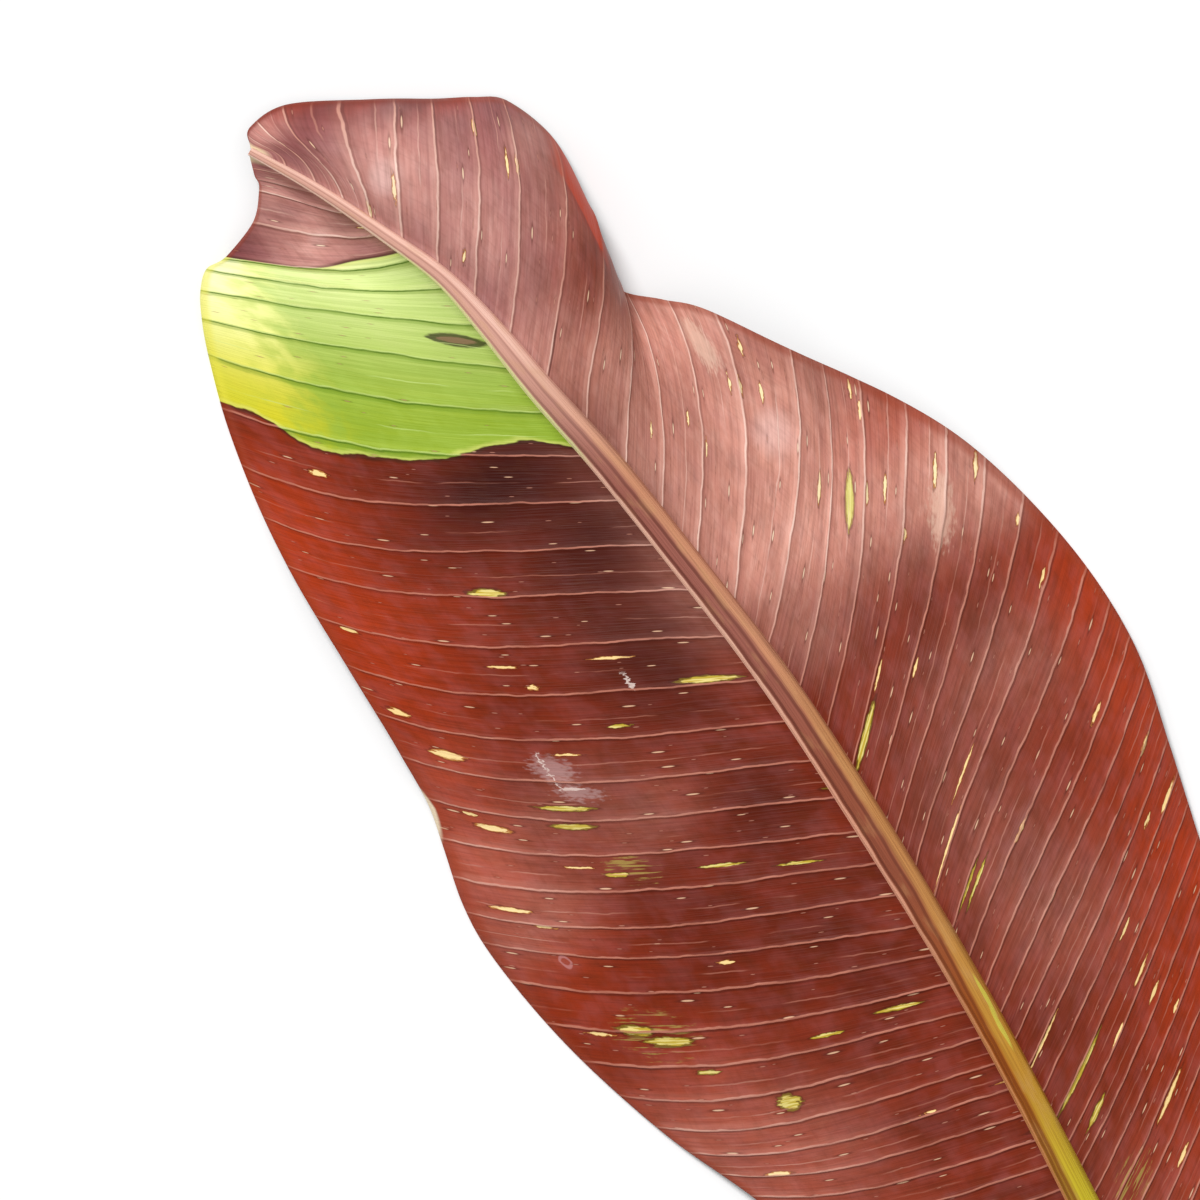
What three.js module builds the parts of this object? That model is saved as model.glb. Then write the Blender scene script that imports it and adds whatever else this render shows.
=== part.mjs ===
// Cut leaf of a young red banana plant, lying face down, so that the round back of its midrib is up.
// The blade, the midrib and the stub of petiole grew as one piece, so the leaf is one closed solid.
// Millimetres, +Z up. The tip points along +Y, and the origin is under the middle of the leaf, on the
// surface that it rests on.

import * as THREE from "three";

// Driving dimensions
const LEAF_LENGTH = 389; // tip to the cut end of the petiole
const RIDGE_HEIGHT = 21; // underside of the blade beside the midrib, where the leaf stands highest
const RIB_WIDTH = 6.6; // midrib across the middle of the blade
const RIB_RISE = 2.9; // how far the midrib's round back stands out of the blade
const GROOVE_DEPTH = 1.2; // channel along the midrib's other side
const BLADE_THICKNESS = 0.8;
const ROOT_THICKNESS = 1.4; // the blade where it leaves the midrib
const PETIOLE_RADIUS = 4.6;
const CHANNEL_RADIUS = 2.7; // the petiole's open channel, which faces down
const PETIOLE_WRAP = THREE.MathUtils.degToRad(24); // how far the petiole's sides close below its middle
const VEIN_REACH = 0.36; // handle length of a side vein's curve, as a share of its chord

// The blade gives way to the petiole between these two stations
const PETIOLE_STARTS = 30;
const BLADE_ENDS = 56;

// The tables are drawn for a leaf of this length. A station is the distance from the petiole's cut
// end, along +Y, of the place where a side vein leaves the midrib.
const DRAWN_LENGTH = 389;
const SCALE = LEAF_LENGTH / DRAWN_LENGTH;

// Station, sideways place, share of the ridge height, share of the rib's width
const MIDRIB = [
  [0, -9, 0.08, 1.3],
  [30, -3, 0.2, 1.25],
  [50, 1, 0.36, 1.15],
  [85, 6.5, 0.62, 1.03],
  [125, 10.6, 0.85, 0.95],
  [160, 12.9, 0.96, 0.97],
  [200, 13.3, 1, 1],
  [240, 12, 0.97, 1],
  [270, 8.8, 0.92, 1],
  [297, 5.4, 0.86, 0.98],
  [315, 2.2, 0.81, 0.9],
  [330, -0.2, 0.76, 0.78],
  [345, -3.9, 0.7, 0.58],
  [360, -10.2, 0.6, 0.45],
  [375, -17, 0.46, 0.36],
  [389, -24.4, 0.28, 0.26],
];

// Station, where the vein from there meets the margin (sideways, along), and the vein's lean towards
// the tip in degrees, where it leaves the rib and where it meets the margin
const LEFT_MARGIN = [
  [30, -7.2, 33, 30, 40],
  [42, -8.5, 50, 18, 30],
  [62, -18, 71, 12, 28],
  [85, -30, 97, 10, 28],
  [107, -40.5, 123, 12, 30],
  [127, -49, 147, 14, 34],
  [145, -58.5, 169.5, 16, 38],
  [163, -66.5, 198, 18, 40],
  [177, -69.5, 220, 22, 42],
  [188, -69, 231, 24, 44],
  [200, -66.2, 243.5, 26, 44],
  [208, -64.3, 252, 26, 48],
  [220, -63.6, 265, 26, 50],
  [239, -63.5, 286, 28, 52],
  [263, -63.2, 311, 32, 52],
  [286, -60.6, 333, 30, 56],
  [297, -58.2, 344.5, 30, 52],
  [309, -54.6, 356.5, 34, 52],
  [322, -51.5, 364.5, 38, 46],
  [334, -48.4, 370, 36, 42],
  [344, -45, 373, 28, 42],
  [354, -39.5, 373.2, 18, 38],
  [361, -31.5, 376.3, 28, 42],
  [368, -27.2, 381, 45, 42],
  [379, -26.2, 384.5, 45, 40],
  [389, -24.9, 388.6, 30, 30],
];
const RIGHT_MARGIN = [
  [30, 1.2, 33, 40, 50],
  [37, 11, 45, 24, 34],
  [48, 27, 65, 20, 30],
  [65, 44, 89, 22, 32],
  [85, 57, 116, 26, 34],
  [105, 65, 141, 30, 36],
  [125, 70.5, 164, 32, 36],
  [141, 75, 182.5, 34, 38],
  [160, 79.8, 205, 38, 40],
  [180, 79, 230, 44, 44],
  [201, 72, 258.5, 44, 58],
  [217, 63.5, 275.2, 44, 62],
  [225, 58.4, 283, 44, 66],
  [248, 48, 298, 46, 72],
  [258, 39.5, 311, 52, 84],
  [270, 33, 317.6, 55, 86],
  [283, 26.6, 324.5, 56, 88],
  [297, 28.8, 334, 58, 88],
  [305, 30.6, 344.5, 56, 84],
  [316, 31.2, 359, 50, 78],
  [326, 27.3, 370, 50, 76],
  [337, 21.5, 374.6, 52, 72],
  [346, 15, 378.2, 56, 68],
  [360, 2.6, 385.6, 66, 60],
  [369, -12.6, 393.6, 72, 60],
  [378, -21.5, 393.6, 75, 100],
  [389, -24, 389.6, 70, 80],
];

// Station, height of the margin, how late the blade turns down towards it (1 is a straight slope),
// and how far the blade arches up between rib and margin
const LEFT_DRAPE = [
  [30, 3, 1, 0],
  [60, 4, 1.1, 0.5],
  [100, 3, 1.3, 2],
  [145, 0.5, 1.4, 3],
  [180, 0, 1.4, 3.5],
  [225, 3.5, 1.3, 3],
  [262, 1.5, 1.3, 3],
  [300, 0, 1.2, 2],
  [330, 2, 1, 0.5],
  [350, 3, 0.7, -2.5],
  [368, 4, 0.6, -2],
  [389, 5, 1, 0],
];
const RIGHT_DRAPE = [
  [30, 3, 1, 0],
  [60, 4, 1.2, 0.5],
  [100, 4, 1.4, 2],
  [135, 1, 1.6, 3.5],
  [160, 0, 1.8, 4],
  [185, 0, 1.7, 4],
  [215, 4, 1.5, 2],
  [245, 9, 1.3, 1.5],
  [265, 6, 1.5, 1.5],
  [283, 0, 1.8, 0],
  [300, 2, 3, 2.5],
  [316, 1, 4.2, 5],
  [340, 1, 4.5, 6],
  [360, 1, 4.2, 4.5],
  [376, 3, 2.5, 1.5],
  [389, 5, 1, 0],
];

// Soft folds that run out along the side veins: station, half width, rise at the margin
const LEFT_FOLDS = [
  [120, 16, 1.5],
  [205, 12, -1.5],
  [250, 14, 1.5],
  [292, 12, -1],
];
const RIGHT_FOLDS = [
  [110, 16, -2],
  [150, 16, 2],
  [233, 9, -3],
  [256, 10, 2],
  [290, 8, -2.5],
  [312, 7, 1.5],
];

// Grid of the solid: steps along the leaf, across each half of the blade and across the rib
const STATION_STEPS = 54;
const RIB_STEPS = 6;
const BLADE_STEPS = [0.1, 0.22, 0.36, 0.5, 0.64, 0.77, 0.88, 0.95, 1];

// A table's row at one station, on a smooth curve through the rows on both sides of it.
function rowAt(table, station) {
  const last = table.length - 1;
  let i = 0;
  while (i < last - 1 && station > table[i + 1][0]) {
    i += 1;
  }
  const span = table[i + 1][0] - table[i][0];
  const t = THREE.MathUtils.clamp((station - table[i][0]) / span, 0, 1);
  const slope = (j, column) => {
    const before = Math.max(j - 1, 0);
    const after = Math.min(j + 1, last);
    const rise = (a, b) => (table[b][column] - table[a][column]) / (table[b][0] - table[a][0]);
    if (before === j || after === j) {
      return rise(before, after);
    }
    const share = (table[j][0] - table[before][0]) / (table[after][0] - table[before][0]);
    return THREE.MathUtils.lerp(rise(before, j), rise(j, after), share);
  };
  const values = [];
  for (let column = 1; column < table[i].length; column += 1) {
    const from = table[i][column];
    const to = table[i + 1][column];
    const out = slope(i, column) * span;
    const into = slope(i + 1, column) * span;
    const bend = from - to;
    values.push(from + t * (out + t * (-3 * bend - 2 * out - into + t * (2 * bend + out + into))));
  }
  return values;
}

// The midrib at a station: its middle, the direction across it, and its half width.
function midribAt(station) {
  const [x, height, width] = rowAt(MIDRIB, station);
  const next = Math.min(station + 1, DRAWN_LENGTH);
  const previous = Math.max(station - 1, 0);
  const drift = rowAt(MIDRIB, next)[0] - rowAt(MIDRIB, previous)[0];
  const across = new THREE.Vector2(next - previous, -drift).normalize();
  return { x, height: height * RIDGE_HEIGHT, across, half: (width * RIB_WIDTH) / 2 };
}

function folds(list, station) {
  return list.reduce((sum, [at, width, rise]) => sum + rise * Math.exp(-(((station - at) / width) ** 2)), 0);
}

// Underside and upper side of one half of the blade, share t of the way from the rib to the margin.
function bladePoint(side, station, t) {
  const rib = midribAt(station);
  const left = side < 0;
  const [endX, endY, leanOut, leanIn] = rowAt(left ? LEFT_MARGIN : RIGHT_MARGIN, station);
  const [marginHeight, late, arch] = rowAt(left ? LEFT_DRAPE : RIGHT_DRAPE, station);
  const start = new THREE.Vector2(rib.x, station).addScaledVector(rib.across, side * rib.half);
  const end = new THREE.Vector2(endX, endY);
  const handle = start.distanceTo(end) * VEIN_REACH;
  const lean = (degrees) => {
    const angle = THREE.MathUtils.degToRad(degrees);
    return new THREE.Vector2(side * Math.cos(angle), Math.sin(angle)).multiplyScalar(handle);
  };
  const vein = new THREE.CubicBezierCurve(
    start,
    start.clone().add(lean(leanOut)),
    end.clone().sub(lean(leanIn)),
    end
  );
  const place = vein.getPoint(t);
  const slope = THREE.MathUtils.lerp(rib.height, marginHeight, t ** late);
  const fold = folds(left ? LEFT_FOLDS : RIGHT_FOLDS, station) * t;
  const under = Math.max(0, slope + 4 * arch * t * (1 - t) + fold);
  const thickness = THREE.MathUtils.lerp(ROOT_THICKNESS, BLADE_THICKNESS, Math.min(1, 3 * t));
  return [new THREE.Vector3(place.x, place.y, under), new THREE.Vector3(place.x, place.y, under + thickness)];
}

// Underside and upper side of the midrib, at an angle of 0 at its right edge and pi at its left.
function ribPoint(station, angle) {
  const rib = midribAt(station);
  const size = rib.half / (RIB_WIDTH / 2);
  const place = new THREE.Vector2(rib.x, station).addScaledVector(rib.across, rib.half * Math.cos(angle));
  const under = rib.height + GROOVE_DEPTH * size * Math.sin(angle);
  const top = rib.height + ROOT_THICKNESS + RIB_RISE * size * Math.sin(angle);
  return [new THREE.Vector3(place.x, place.y, under), new THREE.Vector3(place.x, place.y, top)];
}

// Inside and outside of the petiole, a round stem with an open channel along its lower side.
// The wrap runs from 0 at its right lip to 1 at its left lip.
function petiolePoint(station, wrap) {
  const rib = midribAt(station);
  const angle = THREE.MathUtils.lerp(-PETIOLE_WRAP, Math.PI + PETIOLE_WRAP, wrap);
  const centre = PETIOLE_RADIUS * Math.sin(PETIOLE_WRAP) + Math.max(0, rib.height - 0.08 * RIDGE_HEIGHT);
  const at = (radius) => {
    const place = new THREE.Vector2(rib.x, station).addScaledVector(rib.across, radius * Math.cos(angle));
    return new THREE.Vector3(place.x, place.y, centre + radius * Math.sin(angle));
  };
  return [at(CHANNEL_RADIUS), at(PETIOLE_RADIUS)];
}

// One row of points across the leaf, from the right margin over the rib to the left margin.
function sectionAt(station) {
  const blade = [
    ...BLADE_STEPS.toReversed().map((t) => bladePoint(1, station, t)),
    ...Array.from({ length: RIB_STEPS + 1 }, (_, i) => ribPoint(station, (Math.PI * i) / RIB_STEPS)),
    ...BLADE_STEPS.map((t) => bladePoint(-1, station, t)),
  ];
  const stem = 1 - THREE.MathUtils.smoothstep(station, PETIOLE_STARTS, BLADE_ENDS);
  return blade.map(([under, top], i) => {
    const [inside, outside] = petiolePoint(station, i / (blade.length - 1));
    return [under.lerp(inside, stem), top.lerp(outside, stem)];
  });
}

// Closed solid between the upper and lower sides of the rows of points.
function solidFromSections(sections) {
  const columns = sections[0].length;
  const positions = [];
  for (const layer of [0, 1]) {
    for (const section of sections) {
      section.forEach((pair) => positions.push(...pair[layer].multiplyScalar(SCALE).toArray()));
    }
  }
  const layerSize = sections.length * columns;
  const under = (row, column) => row * columns + column;
  const top = (row, column) => layerSize + under(row, column);
  const faces = [];
  const quad = (a, b, c, d) => faces.push(a, b, c, a, c, d);
  for (let row = 0; row < sections.length - 1; row += 1) {
    for (let column = 0; column < columns - 1; column += 1) {
      quad(top(row, column), top(row + 1, column), top(row + 1, column + 1), top(row, column + 1));
      quad(under(row, column), under(row, column + 1), under(row + 1, column + 1), under(row + 1, column));
    }
    const edge = columns - 1;
    quad(under(row, 0), under(row + 1, 0), top(row + 1, 0), top(row, 0));
    quad(under(row, edge), top(row, edge), top(row + 1, edge), under(row + 1, edge));
  }
  const tip = sections.length - 1;
  for (let column = 0; column < columns - 1; column += 1) {
    quad(under(0, column), top(0, column), top(0, column + 1), under(0, column + 1));
    quad(under(tip, column), under(tip, column + 1), top(tip, column + 1), top(tip, column));
  }
  const geometry = new THREE.BufferGeometry();
  geometry.setAttribute("position", new THREE.Float32BufferAttribute(positions, 3));
  geometry.setIndex(faces);
  geometry.computeBoundingBox();
  const middle = geometry.boundingBox.getCenter(new THREE.Vector3());
  geometry.translate(-middle.x, -middle.y, -geometry.boundingBox.min.z);
  geometry.computeVertexNormals();
  return geometry;
}

// Stations, closer together towards the tip and the petiole, where the leaf bends most.
function stationAt(step) {
  const even = step / STATION_STEPS;
  const eased = (1 - Math.cos(Math.PI * even)) / 2;
  return DRAWN_LENGTH * THREE.MathUtils.lerp(even, eased, 0.5);
}

function bananaLeaf() {
  const sections = Array.from({ length: STATION_STEPS + 1 }, (_, step) => sectionAt(stationAt(step)));
  const material = new THREE.MeshStandardMaterial({ color: "#8a3f38", roughness: 0.45, metalness: 0 });
  const leaf = new THREE.Mesh(solidFromSections(sections), material);
  leaf.name = "banana_leaf";
  return leaf;
}

const group = new THREE.Group();
group.add(bananaLeaf());
export default group;
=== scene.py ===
"""Cut banana leaf, lying face down, with the round back of its midrib up.

The blade, midrib and petiole are one continuous skin. Its plan, drape and folds follow the solid's;
this script adds the side veins, the fine relief, the thin margin, the cut end and the finishes.
Metres, +Z up, tip towards +Y. Tables are in millimetres for a leaf of DRAWN_LENGTH.
"""

import math

import bpy
import numpy as np
from bpy.props import FloatProperty, FloatVectorProperty, PointerProperty
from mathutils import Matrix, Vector


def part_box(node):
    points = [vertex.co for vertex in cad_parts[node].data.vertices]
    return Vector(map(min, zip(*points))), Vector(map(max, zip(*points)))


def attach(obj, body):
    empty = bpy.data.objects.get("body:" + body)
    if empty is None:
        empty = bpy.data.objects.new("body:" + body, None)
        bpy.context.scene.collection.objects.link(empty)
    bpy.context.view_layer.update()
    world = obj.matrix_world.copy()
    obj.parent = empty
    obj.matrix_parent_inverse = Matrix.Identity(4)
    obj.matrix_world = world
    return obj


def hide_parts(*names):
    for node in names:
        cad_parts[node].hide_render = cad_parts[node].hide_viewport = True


bl_info = {
    "name": "Banana leaf",
    "version": (1, 0, 0),
    "blender": (4, 5, 0),
    "location": "3D View > Sidebar > Banana leaf",
    "description": "Builds a cut banana leaf with raised side veins and its studio stage",
    "category": "Object",
}

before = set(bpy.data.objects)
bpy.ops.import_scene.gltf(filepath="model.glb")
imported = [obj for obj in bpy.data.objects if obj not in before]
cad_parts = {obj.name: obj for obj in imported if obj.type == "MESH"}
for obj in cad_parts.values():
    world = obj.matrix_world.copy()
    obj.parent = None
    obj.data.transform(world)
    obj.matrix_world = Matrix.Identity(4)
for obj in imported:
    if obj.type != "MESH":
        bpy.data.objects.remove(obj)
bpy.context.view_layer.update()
NODE = "banana_leaf"
BODY = "root"
MM = 0.001

# ---------------------------------------------------------------------------------------------------
# Plan and drape of the leaf, close to the solid's. A station is the distance from the petiole's cut
# end, along +Y, of the place where a side vein leaves the midrib.
# ---------------------------------------------------------------------------------------------------

DRAWN_LENGTH = 389.0
RIDGE_HEIGHT = 21.0
RIB_WIDTH = 6.6
PETIOLE_RADIUS = 4.6
CHANNEL_RADIUS = 2.7
PETIOLE_WRAP = math.radians(24)
VEIN_REACH = 0.36
PETIOLE_STARTS = 30.0
BLADE_ENDS = 56.0

# Station, sideways place, share of the ridge height, share of the rib's width
MIDRIB = [
    (0, -9, 0.08, 1.3),
    (30, -3, 0.2, 1.25),
    (50, 1, 0.36, 1.15),
    (85, 6.5, 0.62, 1.03),
    (125, 10.3, 0.85, 0.95),
    (160, 12.3, 0.96, 0.97),
    (200, 12.6, 1, 1.06),
    (240, 11.3, 0.97, 1.04),
    (270, 8.1, 0.92, 1),
    (297, 4.6, 0.86, 0.98),
    (315, 1.3, 0.81, 0.9),
    (330, -0.8, 0.76, 0.78),
    (345, -3.8, 0.7, 0.58),
    (360, -9.9, 0.6, 0.45),
    (375, -16.7, 0.46, 0.36),
    (389, -24.4, 0.28, 0.26),
]

# Station, where the vein from there meets the margin (sideways, along), and the vein's lean towards
# the tip in degrees, where it leaves the rib and where it meets the margin
LEFT_MARGIN = [
    (30, -7.2, 33, 30, 40),
    (42, -8.5, 50, 18, 30),
    (62, -18, 71, 12, 28),
    (85, -30, 97, 10, 28),
    (107, -40.5, 123, 12, 30),
    (127, -49, 147, 14, 34),
    (145, -58.5, 169.5, 16, 38),
    (163, -66.5, 198, 18, 40),
    (177, -69.5, 220, 22, 42),
    (188, -69, 231, 24, 44),
    (200, -66.2, 243.5, 26, 44),
    (208, -64.3, 252, 26, 48),
    (220, -63.6, 265, 26, 50),
    (239, -63.5, 286, 28, 52),
    (263, -63.2, 311, 32, 52),
    (286, -60.6, 333, 30, 56),
    (297, -58.2, 344.5, 30, 52),
    (309, -54.6, 356.5, 34, 52),
    (322, -51.5, 364.5, 38, 46),
    (334, -48.4, 370, 36, 42),
    (344, -45, 373, 28, 42),
    (354, -39.5, 373.2, 18, 38),
    (361, -31.5, 376.3, 28, 42),
    (368, -27.2, 381, 45, 42),
    (379, -26.2, 384.5, 45, 40),
    (389, -24.9, 388.6, 30, 30),
]
RIGHT_MARGIN = [
    (30, 1.2, 33, 40, 50),
    (37, 11, 45, 24, 34),
    (48, 27, 65, 20, 30),
    (65, 44, 89, 22, 32),
    (85, 57, 116, 26, 34),
    (105, 65, 141, 30, 36),
    (125, 70.5, 164, 32, 36),
    (141, 75, 182.5, 34, 38),
    (160, 79.8, 205, 38, 40),
    (180, 79, 230, 44, 44),
    (201, 72, 258.5, 44, 58),
    (217, 63.5, 275.2, 44, 62),
    (225, 58.4, 283, 44, 66),
    (248, 48, 298, 46, 72),
    (258, 39.5, 311, 52, 84),
    (270, 33, 317.6, 55, 86),
    (283, 26.6, 324.5, 56, 88),
    (297, 28.8, 334, 58, 88),
    (305, 30.6, 344.5, 56, 84),
    (316, 31.2, 359, 50, 78),
    (326, 27.3, 370, 50, 76),
    (337, 21.5, 374.6, 52, 72),
    (346, 15, 378.2, 56, 68),
    (360, 2.6, 385.6, 66, 60),
    (369, -12.6, 393.6, 72, 60),
    (378, -21.5, 393.6, 75, 100),
    (389, -24, 389.6, 70, 80),
]

# Station, height of the margin, how late the blade turns down towards it, and how far it arches up
LEFT_DRAPE = [
    (30, 3, 1, 0),
    (60, 4, 1.1, 0.5),
    (100, 3, 1.3, 2),
    (145, 0.5, 1.4, 3),
    (180, 0, 1.4, 3.5),
    (225, 3.5, 1.3, 3),
    (262, 1.5, 1.3, 3),
    (300, 0, 1.2, 2),
    (330, 2, 1, 0.5),
    (350, 3, 0.7, -2.5),
    (368, 4, 0.6, -2),
    (389, 5, 1, 0),
]
RIGHT_DRAPE = [
    (30, 3, 1, 0),
    (60, 4, 1.2, 0.5),
    (100, 4, 1.4, 2),
    (135, 1, 1.6, 3.5),
    (160, 0, 1.8, 4),
    (185, 0, 1.7, 4),
    (215, 4, 1.5, 2),
    (245, 9, 1.3, 1.5),
    (265, 6, 1.5, 1.5),
    (283, 0, 1.8, 0),
    (300, 2, 3, 2.5),
    (316, 1, 4.2, 5),
    (340, 1, 4.5, 6),
    (360, 1, 4.2, 4.5),
    (376, 3, 2.5, 1.5),
    (389, 5, 1, 0),
]

# Soft folds that run out along the side veins: station, half width, rise at the margin
LEFT_FOLDS = [(120, 16, 1.5), (205, 12, -1.5), (250, 14, 1.5), (292, 12, -1)]
RIGHT_FOLDS = [
    (110, 16, -2),
    (150, 16, 2),
    (233, 9, -3),
    (256, 10, 2),
    (290, 8, -2.5),
    (312, 7, 1.5),
]

# Spacing of the side veins along the midrib: station, millimetres from one vein to the next
VEIN_SPACING = [
    (0, 5.6),
    (130, 5.9),
    (150, 6.2),
    (175, 7.2),
    (200, 8),
    (225, 9.8),
    (255, 12),
    (325, 11.8),
    (350, 8.5),
    (389, 6),
]
# A station where a vein of the left half leaves the midrib
VEIN_ANCHOR = 334.0

# Rows of the skin between one side vein and the next, in shares of their spacing: close together
# on the vein, so that its ridge is crisp
VEIN_ROWS = (0, 0.05, 0.11, 0.2, 0.35, 0.5, 0.65, 0.8, 0.89, 0.95)
BLADE_COLUMNS = 28
RIB_COLUMNS = 12

# The veins of the two halves alternate: the right half's stand this share of a spacing further on
RIGHT_SHIFT = 0.42

# How far a side vein strays from its smooth path, in shares of its spacing
VEIN_WANDER = 0.012

# Regions of the skin, each with its own finish
BACK, FACE, RIB, CUT = range(4)


# ---------------------------------------------------------------------------------------------------
# The leaf's surface
# ---------------------------------------------------------------------------------------------------


def rows_at(table, stations):
    """A table's columns at many stations, on a smooth curve through its rows."""
    rows = np.array(table, float)
    x, values = rows[:, 0], rows[:, 1:]
    rise = np.diff(values, axis=0) / np.diff(x)[:, None]
    share = ((x[1:-1] - x[:-2]) / (x[2:] - x[:-2]))[:, None]
    slope = np.vstack([rise[:1], rise[:-1] * (1 - share) + rise[1:] * share, rise[-1:]])
    flat = np.ravel(stations)
    i = np.clip(np.searchsorted(x, flat, side="right") - 1, 0, len(x) - 2)
    span = (x[i + 1] - x[i])[:, None]
    t = np.clip((flat - x[i])[:, None] / span, 0, 1)
    start, end = values[i], values[i + 1]
    out, into = slope[i] * span, slope[i + 1] * span
    bend = start - end
    smooth = start + t * (out + t * (-3 * bend - 2 * out - into + t * (2 * bend + out + into)))
    return np.moveaxis(smooth.reshape(np.shape(stations) + (values.shape[1],)), -1, 0)


def smoothstep(value, low, high):
    """0 below low, 1 above high, and a smooth ramp between them."""
    t = np.clip((value - low) / (high - low), 0, 1)
    return t * t * (3 - 2 * t)


def midrib_at(station):
    """Middle of the midrib, its height, the direction across it and its half width."""
    x, height, width = rows_at(MIDRIB, station)
    ahead = np.minimum(station + 1, DRAWN_LENGTH)
    behind = np.maximum(station - 1, 0)
    along = ahead - behind
    drift = rows_at(MIDRIB, ahead)[0] - rows_at(MIDRIB, behind)[0]
    length = np.hypot(along, drift)
    return x, height * RIDGE_HEIGHT, (along / length, -drift / length), width * RIB_WIDTH / 2


def folds(spots, station):
    """Rise of the margin at each station, from a list of soft folds."""
    return sum(rise * np.exp(-(((station - at) / width) ** 2)) for at, width, rise in spots)


def blade_points(side, station, t, thin, root):
    """Underside and upper side of one half of the blade, and the length of each side vein."""
    x, height, across, half = midrib_at(station)
    left = side < 0
    end_x, end_y, lean_out, lean_in = rows_at(LEFT_MARGIN if left else RIGHT_MARGIN, station)
    margin, late, arch = rows_at(LEFT_DRAPE if left else RIGHT_DRAPE, station)
    start = np.stack([x + side * half * across[0], station + side * half * across[1]])
    end = np.stack([end_x, end_y])
    chord = np.hypot(*(end - start))

    def lean(degrees):
        angle = np.radians(degrees)
        return np.stack([side * np.cos(angle), np.sin(angle)]) * chord * VEIN_REACH

    u = 1 - t
    first, second = start + lean(lean_out), end - lean(lean_in)
    place = u**3 * start + 3 * u * u * t * first + 3 * u * t * t * second + t**3 * end
    slope = height + (margin - height) * t**late
    fold = folds(LEFT_FOLDS if left else RIGHT_FOLDS, station) * t
    under = np.maximum(0, slope + 4 * arch * t * u + fold)
    thickness = root + (thin - root) * np.minimum(1, 3 * t)
    lower = np.stack([*place, under])
    upper = np.stack([*place, under + thickness])
    return lower, upper, chord


def rib_points(station, angle, shape):
    """Channel and round back of the midrib, by the angle around it from its right side."""
    x, height, across, half = midrib_at(station)
    size = half / (RIB_WIDTH / 2)
    px = x + across[0] * half * np.cos(angle)
    py = station + across[1] * half * np.cos(angle)
    under = height + shape["groove"] * size * np.sin(angle)
    top = height + shape["root"] + shape["rise"] * size * np.sin(angle)
    return np.stack([px, py, under]), np.stack([px, py, top])


def petiole_points(station, wrap):
    """Inside and outside of the petiole, an open channel that faces down."""
    x, height, across, _ = midrib_at(station)
    angle = -PETIOLE_WRAP + (math.pi + 2 * PETIOLE_WRAP) * wrap
    centre = PETIOLE_RADIUS * math.sin(PETIOLE_WRAP) + np.maximum(0, height - 0.08 * RIDGE_HEIGHT)

    def at(radius):
        px = x + across[0] * radius * np.cos(angle)
        py = station + across[1] * radius * np.cos(angle)
        return np.stack([px, py, centre + radius * np.sin(angle)])

    return at(CHANNEL_RADIUS), at(PETIOLE_RADIUS)


def vein_stations():
    """Station and vein count of each row of the skin, from the petiole's cut end to the tip."""
    fine = np.linspace(0, DRAWN_LENGTH, 4000)
    spacing = np.interp(fine, *np.array(VEIN_SPACING, float).T)
    steps = np.diff(fine) / ((spacing[1:] + spacing[:-1]) / 2)
    count = np.concatenate([[0], np.cumsum(steps)])
    count += 1 - np.interp(VEIN_ANCHOR, fine, count) % 1
    whole = np.arange(int(count[-1]) + 1)
    rows = (whole[:, None] + np.array(VEIN_ROWS)).ravel()
    inside = (rows > count[0] + 0.02) & (rows < count[-1] - 0.02)
    return np.concatenate([[count[0]], rows[inside], [count[-1]]]), fine, count


def vein_wander(phase, columns, window):
    """Small sideways waves of each side vein, in spacings, none at the rib and the margin."""
    run = np.abs(np.linspace(-1, 1, columns))[None, :] * 2 * math.pi
    wave = np.sin(2.1 * run + 1.7 * phase) + 0.7 * np.sin(4.3 * run - 2.9 * phase)
    wave += 0.5 * np.sin(7.7 * run + 5.3 * phase)
    return VEIN_WANDER * wave * np.sin(run / 2) ** 0.5 * window[:, None]


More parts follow.
